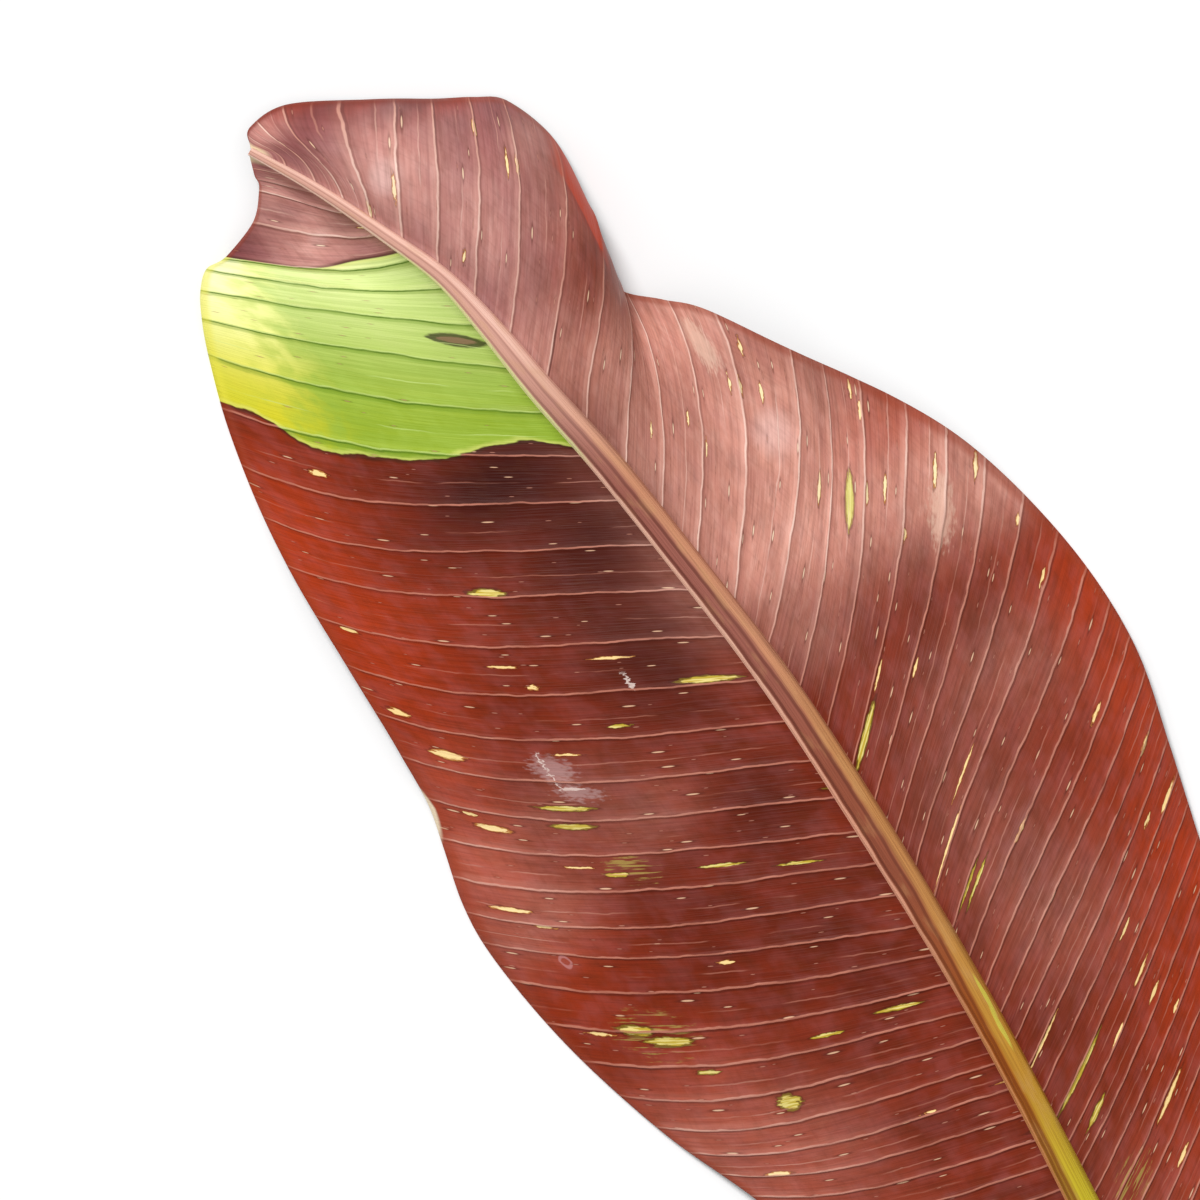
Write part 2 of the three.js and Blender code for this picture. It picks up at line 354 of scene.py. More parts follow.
def leaf_skin(shape):
    """Points of the leaf's lower and upper layer, and what the veins and finishes read from them."""
    phase_rows, fine, count = vein_stations()
    u = np.linspace(0, 1, BLADE_COLUMNS + 1)[1:]
    shares = 1 - (1 - u) ** 1.15
    angles = np.linspace(0, math.pi, RIB_COLUMNS + 1)
    columns = 2 * BLADE_COLUMNS + RIB_COLUMNS + 1
    shift = np.concatenate(
        [np.full(BLADE_COLUMNS, 1.0), np.linspace(1, 0, RIB_COLUMNS + 1), np.zeros(BLADE_COLUMNS)]
    )
    row_station = np.interp(phase_rows, count, fine)
    window = smoothstep(row_station, 56, 90) * (1 - smoothstep(row_station, 350, 384))
    phase = np.broadcast_to(phase_rows[:, None], (len(phase_rows), columns))
    shifted = phase + RIGHT_SHIFT * shift * window[:, None] + vein_wander(phase, columns, window)
    station = np.interp(shifted, count, fine)
    right, rib = slice(0, BLADE_COLUMNS), slice(BLADE_COLUMNS, BLADE_COLUMNS + RIB_COLUMNS + 1)
    left = slice(BLADE_COLUMNS + RIB_COLUMNS + 1, columns)
    lower = np.zeros((3,) + station.shape)
    upper = np.zeros_like(lower)
    share = np.zeros_like(station)
    across = np.zeros_like(station)
    rib_across = np.zeros_like(station)
    for part, side, t in ((right, 1, shares[::-1]), (left, -1, shares)):
        t = np.broadcast_to(t, station[:, part].shape)
        lower[:, :, part], upper[:, :, part], chord = blade_points(
            side, station[:, part], t, shape["thin"], shape["root"]
        )
        share[:, part] = t
        across[:, part] = side * t * chord
        rib_across[:, part] = side
    turn = np.broadcast_to(angles, station[:, rib].shape)
    lower[:, :, rib], upper[:, :, rib] = rib_points(station[:, rib], turn, shape)
    rib_across[:, rib] = np.cos(turn)
    stem = 1 - smoothstep(station, PETIOLE_STARTS, BLADE_ENDS)
    wrap = np.broadcast_to(np.linspace(0, 1, columns), station.shape)
    inside, outside = petiole_points(station, wrap)
    lower = lower * (1 - stem) + inside * stem
    upper = upper * (1 - stem) + outside * stem
    on_blade = share > 0
    relief = (
        on_blade
        * (1 - stem)
        * smoothstep(station, 44, 70)
        * (1 - smoothstep(station, 366, 385))
        * smoothstep(share, 0, 0.05)
        * (1 - smoothstep(share, 0.93, 1))
    )
    clear = np.clip(lower[2] / 0.4, 0, 1)
    return {
        "lower": lower,
        "upper": upper,
        "station": station,
        "share": share,
        "across": across,
        "rib_across": rib_across,
        "phase": phase,
        "spacing": np.interp(station, *np.array(VEIN_SPACING, float).T),
        "relief": (-0.6 * relief * clear, relief),
    }


def leaf_faces(rows, columns):
    """Faces of the closed skin and the region of each."""
    index = np.arange(rows * columns).reshape(rows, columns)
    a, b = index[:-1, :-1], index[:-1, 1:]
    c, d = index[1:, 1:], index[1:, :-1]
    layer = rows * columns
    under = np.stack([a, b, c, d], -1).reshape(-1, 4)
    top = np.stack([a, d, c, b], -1).reshape(-1, 4) + layer
    column = np.tile(np.arange(columns - 1), rows - 1)
    on_rib = (column >= BLADE_COLUMNS) & (column < BLADE_COLUMNS + RIB_COLUMNS)
    top_region = np.where(on_rib, RIB, BACK)
    under_region = np.full(len(under), FACE)
    first, last = index[:, 0], index[:, -1]
    right_edge = np.stack([first[:-1], first[1:], first[1:] + layer, first[:-1] + layer], -1)
    left_edge = np.stack([last[:-1], last[:-1] + layer, last[1:] + layer, last[1:]], -1)
    butt, tip = index[0], index[-1]
    cut = np.stack([butt[:-1], butt[:-1] + layer, butt[1:] + layer, butt[1:]], -1)
    point = np.stack([tip[:-1], tip[1:], tip[1:] + layer, tip[:-1] + layer], -1)
    faces = np.concatenate([under, top, right_edge, left_edge, cut, point])
    region = np.concatenate(
        [
            under_region,
            top_region,
            np.full(len(right_edge) + len(left_edge), BACK),
            np.full(len(cut), CUT),
            np.full(len(point), BACK),
        ]
    )
    return faces, region


# The sector without red pigment, on the left half: share of the vein's length, station of the edge
SECTOR_LOWER_EDGE = [
    (0, 301.5),
    (0.1, 303),
    (0.25, 300.6),
    (0.4, 297.5),
    (0.6, 296.7),
    (0.78, 296.7),
    (0.88, 300),
    (1, 300.4),
]
SECTOR_UPPER_EDGE = [(0, 355), (0.27, 354.8), (0.52, 352.7), (0.77, 352.6), (1, 353)]

# Broad tints of the blade's back: sideways, along, reach sideways, reach along, strength.
# Bloom and sheen: the waxy film that turns the red pale pink, with painted sheen where it faces the light.
# Shade: painted purple-brown shade in the hollows and on slopes turned from the light. Warm: the orange
# near the margins, painted for light shining through the thin tissue.
BLOOM_AND_SHEEN_SPOTS = [
    (-3, 369, 13, 13, 1),
    (11, 372, 12, 6, 0.15),
    (24, 350, 9, 14, 0.3),
    (-25, 379, 7, 5, 0.85),
    (-20, 391, 5, 4, 0.8),
    (26, 360, 5, 6, 0.5),
    (74, 247, 8, 8, 0.62),
    (-22, 366, 10, 9, 0.95),
    (6, 350, 12, 15, 0.8),
    (5, 322, 10, 14, 0.6),
    (20, 308, 10, 10, 0.5),
    (12, 286, 10, 24, 0.76),
    (34, 312, 12, 12, 0.85),
    (38, 282, 17, 20, 0.98),
    (30, 262, 22, 13, 0.88),
    (22, 242, 9, 8, 0.25),
    (62, 258, 17, 14, 0.8),
    (56, 216, 18, 12, 0.2),
    (72, 192, 12, 16, 0.1),
    (33, 188, 15, 26, 0.12),
    (42, 164, 18, 16, 0.15),
    (24, 90, 16, 34, 0.1),
    (-61, 237, 10, 11, 0.36),
    (-41, 238, 15, 9, 0.14),
    (-58, 255, 9, 8, 0.2),
    (-26, 227, 12, 8, 0.15),
    (-58, 220, 12, 9, 0.3),
    (-52, 164, 14, 14, 0.35),
    (-38, 148, 16, 14, 0.3),
    (-24, 95, 12, 24, 0.25),
]
# Painted shade: darker purple-brown where the back turns from the light, in folds, and along the curled
# rim near the tip
SHADE_SPOTS = [
    (-16, 303, 22, 12, 0.97),
    (-5, 282, 16, 20, 0.85),
    (-8, 254, 13, 16, 0.7),
    (-6, 216, 9, 10, 0.5),
    (-4, 186, 9, 22, 0.35),
    (-26, 200, 12, 18, 0.25),
    (38, 234, 12, 6, 0.08),
    (-26, 374, 4, 5, 0.2),
    (-15.6, 366, 5, 4, 0.4),
    (-8, 391, 7, 3, 0.3),
    (2, 388, 10, 3, 0.45),
    (14, 380, 9, 3, 0.35),
    (27, 352, 5, 14, 0.15),
]
# Painted light shining through the thin tissue: orange near the margins
WARM_SPOTS = [
    (-59, 315, 12, 24, 0.9),
    (-56, 286, 13, 22, 0.8),
    (-40, 290, 12, 26, 0.15),
    (-57, 255, 9, 12, 0.6),
    (-62, 236, 12, 14, 0.5),
    (-60, 206, 12, 14, 0.42),
    (-50, 172, 16, 22, 0.45),
    (-38, 146, 14, 16, 0.35),
    (78, 220, 11, 18, 0.75),
    (74, 190, 11, 20, 0.8),
    (66, 162, 14, 22, 0.9),
    (52, 138, 16, 22, 0.6),
    (36, 100, 16, 26, 0.5),
    (62, 270, 14, 8, 0.4),
    (-30, 110, 12, 24, 0.3),
    (31, 341, 3, 9, 1),
    (-7, 393, 10, 3, 0.85),
    (4, 387, 9, 3, 0.7),
    (20, 377, 9, 3, 0.6),
]


def spots_at(spots, x, y):
    """How strongly a list of soft spots tints each place: where two overlap, they build up."""
    bare = np.ones_like(x)
    for at_x, at_y, reach_x, reach_y, strength in spots:
        distance = ((x - at_x) / reach_x) ** 2 + ((y - at_y) / reach_y) ** 2
        bare *= 1 - strength * np.exp(-distance)
    return 1 - bare


def sector_edges(station, share):
    """Distance inside the lower and the upper edge of the green sector, in station millimetres."""
    return station - rows_at(SECTOR_LOWER_EDGE, share)[0], rows_at(SECTOR_UPPER_EDGE, share)[0] - station


def leaf_object(shape):
    """The leaf's skin as one mesh, in the place of the solid, with the attributes its finishes read."""
    skin = leaf_skin(shape)
    rows, columns = skin["station"].shape
    points = np.concatenate([skin[k].reshape(3, -1).T for k in ("lower", "upper")])
    drawn_x, drawn_y = points[:, 0], points[:, 1]
    low, high = (np.array(corner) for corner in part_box(NODE))
    scale = (high[1] - low[1]) / np.ptp(points[:, 1])
    middle = (points.max(0) + points.min(0)) / 2
    points = (points - [middle[0], middle[1], points[:, 2].min()]) * scale
    points += [(low[0] + high[0]) / 2, (low[1] + high[1]) / 2, low[2]]
    faces, region = leaf_faces(rows, columns)
    mesh = bpy.data.meshes.new(NODE)
    mesh.from_pydata(points.tolist(), [], faces.tolist())

    def both(field):
        return np.tile(np.ravel(field), 2)

    def numbers(name, values):
        mesh.attributes.new(name, "FLOAT", "POINT").data.foreach_set("value", np.float32(values))

    def vectors(name, *parts):
        data = np.float32(np.stack(parts, -1)).ravel()
        mesh.attributes.new(name, "FLOAT_VECTOR", "POINT").data.foreach_set("vector", data)

    side_of_rib = np.sign(both(skin["across"]))
    numbers("relief", np.ravel(skin["relief"]))
    vectors("vein_place", both(skin["phase"]), both(skin["spacing"]), side_of_rib)
    numbers("rib_across", both(skin["rib_across"]))
    vectors("leaf_place", both(skin["station"]), both(skin["across"]), both(skin["share"]))
    low_edge, high_edge = (both(part) for part in sector_edges(skin["station"], skin["share"]))
    vectors("green_sector", low_edge, high_edge, side_of_rib)
    tints = (spots_at(spots, drawn_x, drawn_y) for spots in (BLOOM_AND_SHEEN_SPOTS, SHADE_SPOTS, WARM_SPOTS))
    vectors("leaf_tint_sheen_and_shade", *tints)
    mesh.attributes.new("region", "INT", "FACE").data.foreach_set("value", np.int32(region))
    mesh.shade_smooth()
    mesh.validate()
    leaf = bpy.data.objects.new("banana_leaf_skin", mesh)
    bpy.context.scene.collection.objects.link(leaf)
    return leaf


# ---------------------------------------------------------------------------------------------------
# Node helpers
# ---------------------------------------------------------------------------------------------------

MATH = "ShaderNodeMath"
VECTOR_MATH = "ShaderNodeVectorMath"
RANGE = "ShaderNodeMapRange"
MIX = "ShaderNodeMix"
SOFT = {"interpolation_type": "SMOOTHSTEP"}


def srgb(code):
    """Linear colour of an sRGB hex code such as '8a4238'."""
    parts = [int(code[i : i + 2], 16) / 255 for i in (0, 2, 4)]
    linear = [c / 12.92 if c <= 0.04045 else ((c + 0.055) / 1.055) ** 2.4 for c in parts]
    return (*linear, 1.0)


def add(tree, kind, inputs=(), out=0, **settings):
    """Adds a node with its settings and links, and returns one of its outputs.

    inputs is a tuple for the first inputs in order, or a dict from an input's name or number. A value
    is a link from another node's output, or a constant.
    """
    node = tree.nodes.new(kind)
    for key, value in settings.items():
        setattr(node, key, value)
    for key, value in inputs.items() if isinstance(inputs, dict) else enumerate(inputs):
        if isinstance(value, bpy.types.NodeSocket):
            tree.links.new(value, node.inputs[key])
        else:
            node.inputs[key].default_value = value
    return node.outputs[out]


# ---------------------------------------------------------------------------------------------------
# Side veins, by geometry nodes
# ---------------------------------------------------------------------------------------------------

# In metres
VEIN_INPUTS = {
    "Vein height": 0.0003,
    "Vein half width": 0.4,
    "Crease depth": 0.0001,
    "Panel hollow": 0.0002,
    "Minor vein height": 0.0001,
}


def vein_tree(materials):
    """Raises a ridge on every side vein, presses a crease beside it and hollows the panel between."""
    tree = bpy.data.node_groups.new("side_veins", "GeometryNodeTree")
    tree.interface.new_socket("Geometry", in_out="INPUT", socket_type="NodeSocketGeometry")
    for name, value in VEIN_INPUTS.items():
        socket = tree.interface.new_socket(name, in_out="INPUT", socket_type="NodeSocketFloat")
        socket.default_value = value
    tree.interface.new_socket("Geometry", in_out="OUTPUT", socket_type="NodeSocketGeometry")
    inputs = tree.nodes.new("NodeGroupInput").outputs

    def ridge(middle, half_width, height):
        """A bump along each vein, its middle this share of a spacing past the vein."""
        share = add(tree, MATH, (phase, 0.5 - middle), operation="ADD")
        share = add(tree, MATH, (share,), operation="FRACT")
        distance = add(tree, MATH, (share, 0.5), operation="SUBTRACT")
        distance = add(tree, MATH, (distance,), operation="ABSOLUTE")
        distance = add(tree, MATH, (distance, spacing), operation="MULTIPLY")
        bump = add(tree, RANGE, (distance, 0.0, half_width, 1.0, 0.0), **SOFT)
        return add(tree, MATH, (bump, height), operation="MULTIPLY")

    place = add(tree, "GeometryNodeInputNamedAttribute", ("vein_place",), data_type="FLOAT_VECTOR")
    phase = add(tree, "ShaderNodeSeparateXYZ", (place,))
    spacing = phase.node.outputs[1]
    relief = add(tree, "GeometryNodeInputNamedAttribute", ("relief",), data_type="FLOAT")
    half_spacing = add(tree, MATH, (spacing, 0.5), operation="MULTIPLY")
    vein = ridge(0.0, inputs["Vein half width"], inputs["Vein height"])
    minor = ridge(0.5, 0.5, inputs["Minor vein height"])
    crease = ridge(-0.08, 0.6, inputs["Crease depth"])
    hollow = ridge(0.5, half_spacing, inputs["Panel hollow"])
    raised = add(tree, MATH, (vein, minor), operation="ADD")
    pressed = add(tree, MATH, (crease, hollow), operation="ADD")
    height = add(tree, MATH, (raised, pressed), operation="SUBTRACT")
    height = add(tree, MATH, (height, relief), operation="MULTIPLY")
    normal = add(tree, "GeometryNodeInputNormal")
    offset = add(tree, VECTOR_MATH, {0: normal, "Scale": height}, operation="SCALE")
    skin = {"Geometry": inputs["Geometry"], "Offset": offset}
    shape = add(tree, "GeometryNodeSetPosition", skin)
    shape = add(tree, "GeometryNodeRealizeInstances", (shape,))
    region = add(tree, "GeometryNodeInputNamedAttribute", ("region",), data_type="INT")
    for number, material in enumerate(materials):
        same = {"data_type": "INT", "operation": "EQUAL"}
        chosen = add(tree, "FunctionNodeCompare", {2: region, 3: number}, **same)
        finish = {"Geometry": shape, "Selection": chosen, "Material": material}
        shape = add(tree, "GeometryNodeSetMaterial", finish)
    tree.links.new(shape, tree.nodes.new("NodeGroupOutput").inputs["Geometry"])
    return tree


def raise_veins(leaf, materials, sizes):
    """Runs the vein tree on the leaf and keeps its result as a plain mesh."""
    modifier = leaf.modifiers.new("side_veins", "NODES")
    modifier.node_group = vein_tree(materials)
    items = modifier.node_group.interface.items_tree
    sockets = {item.name: item.identifier for item in items if item.in_out == "INPUT"}
    for name, value in sizes.items():
        modifier[sockets[name]] = value
    depsgraph = bpy.context.evaluated_depsgraph_get()
    made = bpy.data.meshes.new_from_object(
        leaf.evaluated_get(depsgraph), preserve_all_data_layers=True, depsgraph=depsgraph
    )
    leaf.modifiers.remove(modifier)
    leaf.data = made


# ---------------------------------------------------------------------------------------------------
# Finishes
# ---------------------------------------------------------------------------------------------------

# Flecks where the tissue lost its red: station, distance out along the vein (left is negative),
# half length along the vein, half width, all in millimetres
LIME_FLECKS = [
    (264, -40.6, 4.1, 1.1),
    (241, -9, 6.5, 0.8),
    (213.3, -54.2, 6.3, 0.6),
    (209, -54.9, 4.8, 0.7),
    (165, -66, 3.8, 1.0),
    (163, -60, 5, 0.9),
    (149.5, -41.7, 2.5, 1.6),
    (162.5, -11.4, 4.9, 0.5),
    (196.5, -14, 4.6, 0.35),
    (198, -29.4, 5.2, 0.35),
    (232, -32, 2.5, 0.4),
    (157, -55.2, 2.4, 0.45),
    (160.4, -27.6, 3.5, 0.35),
    (197.6, -51.8, 2.6, 0.45),
    (212.8, 6.8, 7.4, 0.9),
    (227.7, 44, 6.4, 1.2),
    (174.2, 9.3, 5.5, 0.35),
    (172.4, 11.6, 6.1, 0.35),
    (129.5, 10.3, 9.9, 0.65),
    (121.2, 9.3, 3.9, 0.7),
]
PALE_FLECKS = [
    (231.4, -79.5, 2.4, 0.8),
    (223.3, -73.7, 3.8, 1),
    (206.8, -73.1, 4, 0.7),
    (209.3, -76.7, 1.6, 0.4),
    (189.2, -79, 4.6, 0.5),
    (186, -73.5, 2.3, 0.4),
    (164, -74, 3, 0.3),
    (134, -51.7, 2.6, 0.6),
    (140, -16.3, 1.3, 0.4),
    (250.4, -78.7, 2, 0.5),
    (291, -60, 2, 0.6),
    (246.4, -48.5, 3.6, 0.3),
    (247.6, -25, 4.5, 0.35),
    (241.8, -44.7, 1.1, 0.6),
    (226, -46.5, 3.2, 0.25),
    (199.2, -59.3, 3.4, 0.25),
    (177, -40, 2, 0.4),
    (330.4, 33, 3.3, 0.4),
    (327.6, 34.5, 2.8, 0.35),
    (288, 33, 3.3, 0.45),
    (237.9, 37.8, 3.8, 0.5),
    (223.1, 49.5, 2.2, 0.4),
    (218.9, 54.4, 3.2, 0.35),
    (213.5, 49.7, 1.5, 0.4),
    (224.1, 66.3, 2, 0.4),
    (226, 68.7, 1.8, 0.4),
    (252, 46, 2.2, 0.3),
    (258.3, 42.7, 2, 0.3),
    (272.2, 24.1, 1.8, 0.3),
    (284.1, 12.5, 1.6, 0.3),
    (338.4, 35, 2, 0.5),
    (363.2, 1.5, 2.7, 0.4),
    (356.8, 9.5, 3.2, 0.4),
    (341.6, 5, 1.6, 0.4),
    (291.5, 29.5, 2.7, 0.35),
    (256, 44, 2.4, 0.35),
    (254, 54, 1.9, 0.35),
    (267, 22, 1.9, 0.3),
    (208, 68, 3.7, 0.4),
    (199.3, 77.5, 2.9, 0.45),
    (190, 75, 1.5, 0.4),
    (183, 70, 1.8, 0.3),
    (213.5, 19, 3.5, 0.3),
    (204.7, 28.5, 2.4, 0.3),
    (185, 23.7, 6.3, 0.25),
    (182.5, 10, 9.1, 0.3),
    (167.6, 27.7, 3.1, 0.35),
    (162.7, 60.2, 2.6, 0.4),
    (148, 67.5, 2.7, 0.5),
    (136.6, 66.2, 3.9, 0.45),
    (139.6, 58.5, 1.6, 0.35),
    (141.4, 5.6, 6.9, 0.35),
    (125.5, 37.5, 3.9, 0.4),
    (120, 38.3, 2.2, 0.4),
    (113, 41.7, 1.4, 0.4),
    (105.4, 28.8, 6.3, 0.5),
    (96, 24.5, 2.4, 0.5),
    (124.5, 23.5, 2.8, 0.3),
    (134, 39, 2.6, 0.35),
]
# Places where many thin green streaks lie side by side
STREAKED = [(164, -62, 9, 4), (199, -48, 6, 3), (104.6, 9, 7, 4)]
# Where the waxy bloom is rubbed to a bluish white, or the skin grazed pale
SCUFFS = [(222.5, -51.5, 4.5, 3), (217, -49, 5, 1.6), (206, 62, 8, 2.5), (263.5, 47, 5, 4)]
# White scratches, most of them across the veins
SCRATCHES = [
    (224.3, -53, 0.35, 2.2),
    (219.5, -52.8, 0.3, 2.2),
    (242, -24.3, 0.4, 2),
    (218, -50, 3, 0.3),
]
# Dry, pale stretch of the left margin
DRY_EDGE = [(208.5, -87.8, 3.4, 7)]
# Brown scar in the green sector, beside the midrib
BROWN_LENS = [(328.9, -6.2, 5.8, 1.6)]
# Painted shade of a thin pleat in the valley beside the tip's bulge, and a pale ring
PLEAT_SHADES = [(315.4, 5.5, 6, 0.35)]
RING_SPOTS = [(177.3, -74, 1.2, 1.2)]
# Yellow-green streak on the midrib's right flank: station, place across in shares of its half width,
# half width and half length
RIB_LIME = [(159, 0.62, 0.14, 5), (152, 0.5, 0.15, 5)]


# The petiole's yellow-green, and the stations between which the blade's base turns to it
STEM_COLOUR = "a89c3a"
STEM_TURNS = (66.0, 44.0)
# A distance, in flecks' radii, that is outside every fleck
FAR = 10.0


def painted(tree, colour, layers):
    """Lays each (mask, strength, colour) over the ones before it."""
    for mask, strength, over in layers:
        if strength != 1:
            mask = add(tree, MATH, (mask, strength), operation="MULTIPLY")
        colour = add(tree, MIX, {0: mask, 6: colour, 7: over}, out=2, data_type="RGBA")
    return colour


def grain(tree, place, width_mm, length_mm, detail=3.0, seed=0.0):
    """Noise drawn out along the veins, with a grain of this width and length."""
    size = {0: place, "Location": (seed, seed, 0), "Scale": (1 / width_mm, 1 / length_mm, 0)}
    mapped = add(tree, "ShaderNodeMapping", size)
    noise = {"Vector": mapped, "Scale": 1.0, "Detail": detail, "Roughness": 0.55}
    return add(tree, "ShaderNodeTexNoise", noise, noise_dimensions="2D")


def flecked(tree, place, flecks):
    """Distance from the nearest fleck's middle, 1 on its outline."""
    nearest = FAR
    for station, across, half_length, half_width in flecks:
        scale = (1 / half_width, 1 / half_length, 0)
        offset = (-station / half_width, -across / half_length, 0)
        local = add(tree, VECTOR_MATH, (place, scale, offset), operation="MULTIPLY_ADD")
        local = add(tree, VECTOR_MATH, (local,), operation="ABSOLUTE")
        lens = add(tree, VECTOR_MATH, (local, (1.2, 2, 1)), operation="POWER")
        radius = add(tree, VECTOR_MATH, (lens, (0.9, 0.9, 0)), out="Value", operation="DOT_PRODUCT")
        nearest = add(tree, MATH, (radius, nearest), operation="MINIMUM")
    return nearest


def dashes(tree, place, cell_mm, half_width_mm, density, seed):
    """Short streaks along the veins, one at most in each cell of a jittered grid: core and rim."""
    size = {0: place, "Location": (seed, seed, 0), "Scale": (1 / cell_mm[0], 1 / cell_mm[1], 0)}
    mapped = add(tree, "ShaderNodeMapping", size)
    voronoi = {"Vector": mapped, "Scale": 1.0, "Randomness": 1.0}
    distance = add(tree, "ShaderNodeTexVoronoi", voronoi, voronoi_dimensions="2D")
    chance = add(tree, "ShaderNodeSeparateColor", (distance.node.outputs["Color"],))
    present = add(tree, MATH, (chance, density), operation="LESS_THAN")
    radius = half_width_mm / cell_mm[0]
    varied = (chance.node.outputs[1], 0.0, 1.0, 0.5 * radius, radius)
    radius = add(tree, RANGE, varied)
    ratio = add(tree, MATH, (distance, radius), operation="DIVIDE")
    core = add(tree, RANGE, (ratio, 1.1, 0.6), **SOFT)
    rim = add(tree, RANGE, (ratio, 2.4, 1.0), **SOFT)
    core = add(tree, MATH, (core, present), operation="MULTIPLY")
    return core, add(tree, MATH, (rim, present), operation="MULTIPLY")


def line_along(tree, value, middle, half_width, strength):
    """A soft line where a value passes its middle."""
    distance = add(tree, MATH, (value, middle), operation="SUBTRACT")
    distance = add(tree, MATH, (distance,), operation="ABSOLUTE")
    line = add(tree, RANGE, (distance, half_width, half_width * 0.35), **SOFT)
    return add(tree, MATH, (line, strength), operation="MULTIPLY")


def beside_veins(tree):
    """Distance in millimetres from the nearest side vein, below zero on its base side, and the spacing."""
    _, phase, spacing, _ = parts_of(tree, "vein_place")
    place = parts_of(tree, "leaf_place")[0]
    waver = add(tree, RANGE, (grain(tree, place, 6, 5, 2.0, 81.0), 0.3, 0.7, -0.13, 0.13))
    share = add(tree, MATH, (phase, 0.5), operation="ADD")
    share = add(tree, MATH, (share,), operation="FRACT")
    share = add(tree, MATH, (share, 0.5), operation="SUBTRACT")
    return add(tree, MATH, (share, spacing, waver), operation="MULTIPLY_ADD"), spacing


def new_material(name):
    """A plain material, its node tree and its shader."""
    material = bpy.data.materials.new(name)
    material.use_nodes = True
    tree = material.node_tree
    return material, tree, tree.nodes["Principled BSDF"]


def parts_of(tree, name):
    """An attribute of the leaf as a vector, and its three numbers."""
    vector = add(tree, "ShaderNodeAttribute", out="Vector", attribute_name=name)
    first = add(tree, "ShaderNodeSeparateXYZ", (vector,))
    return vector, *first.node.outputs


def ragged(tree, place, width_mm, length_mm):
    """The leaf coordinates, shaken so that an outline read from them frays along the veins."""
    mapped = add(tree, "ShaderNodeMapping", {0: place, "Scale": (1.6, 0.55, 0)})
    noise = {"Vector": mapped, "Scale": 1.0, "Detail": 3.0}
    shake = add(tree, "ShaderNodeTexNoise", noise, out="Color", noise_dimensions="2D")
    centred = add(tree, VECTOR_MATH, (shake, (0.5, 0.5, 0.5)), operation="SUBTRACT")
    shaken = (centred, (2 * width_mm, 2 * length_mm, 0), place)
    return add(tree, VECTOR_MATH, shaken, operation="MULTIPLY_ADD")


def green_sector(tree, place, station, share):
    """The sector's mask, its outline's dark line and pale lip, and its own colour.

    It has no red pigment: the leaf's green shows, and turns yellow and almost white at the margin.
    """
    _, low, high, side = parts_of(tree, "green_sector")
    left = add(tree, MATH, (side, 0.0), operation="LESS_THAN")
    jag = add(tree, RANGE, (grain(tree, place, 3.0, 5.0, 2.0, 7.0), 0.3, 0.7, -0.3, 0.3))
    low = add(tree, MATH, (low, jag), operation="ADD")
    inside = add(tree, MATH, (low, high), operation="MINIMUM")
    fill = add(tree, RANGE, (inside, -0.15, 0.15), **SOFT)
    fill = add(tree, MATH, (fill, left), operation="MULTIPLY")
    near = add(tree, RANGE, (inside, -1.1, -0.2), **SOFT)
    line = add(tree, RANGE, (inside, 0.3, -0.1, 0.0, left), **SOFT)
    line = add(tree, MATH, (near, line), operation="MULTIPLY")
    lip = add(tree, RANGE, (inside, 1.3, 0.3), **SOFT)
    lip = add(tree, MATH, (lip, fill), operation="MULTIPLY")

    up = add(tree, RANGE, (station, 305.0, 356.0), **SOFT)
    patchy = add(tree, RANGE, (grain(tree, place, 6, 7, 3.0, 12.0), 0.3, 0.7), **SOFT)
    streak = add(tree, RANGE, (grain(tree, place, 1.2, 50, 3.0, 3.0), 0.4, 0.65), **SOFT)
    reach = add(tree, MATH, (patchy, -0.1, share), operation="MULTIPLY_ADD")
    reach = add(tree, MATH, (up, -0.1, reach), operation="MULTIPLY_ADD")
    out = add(tree, RANGE, (reach, 0.55, 0.84), **SOFT)
    far = add(tree, RANGE, (reach, 0.62, 0.9), **SOFT)
    pale = add(tree, MATH, (up, far), operation="MULTIPLY")
    near = add(tree, RANGE, (share, 0.35, 0.0), **SOFT)
    greens = [
        (up, 1, srgb("eaf7a8")),
        (patchy, 0.2, srgb("bcd868")),
        (streak, 0.25, srgb("7f9f2c")),
        (near, 0.3, srgb("7a9c24")),
    ]
    green = painted(tree, srgb("98b030"), greens)
    lighter = add(tree, RANGE, (station, 298.0, 332.0), **SOFT)
    yellow = painted(tree, srgb("d3cb26"), [(lighter, 1, srgb("ffff94")), (patchy, 0.2, srgb("cdd440"))])
    return fill, line, lip, painted(tree, green, [(out, 1, yellow), (pale, 0.9, srgb("fdfdd8"))])


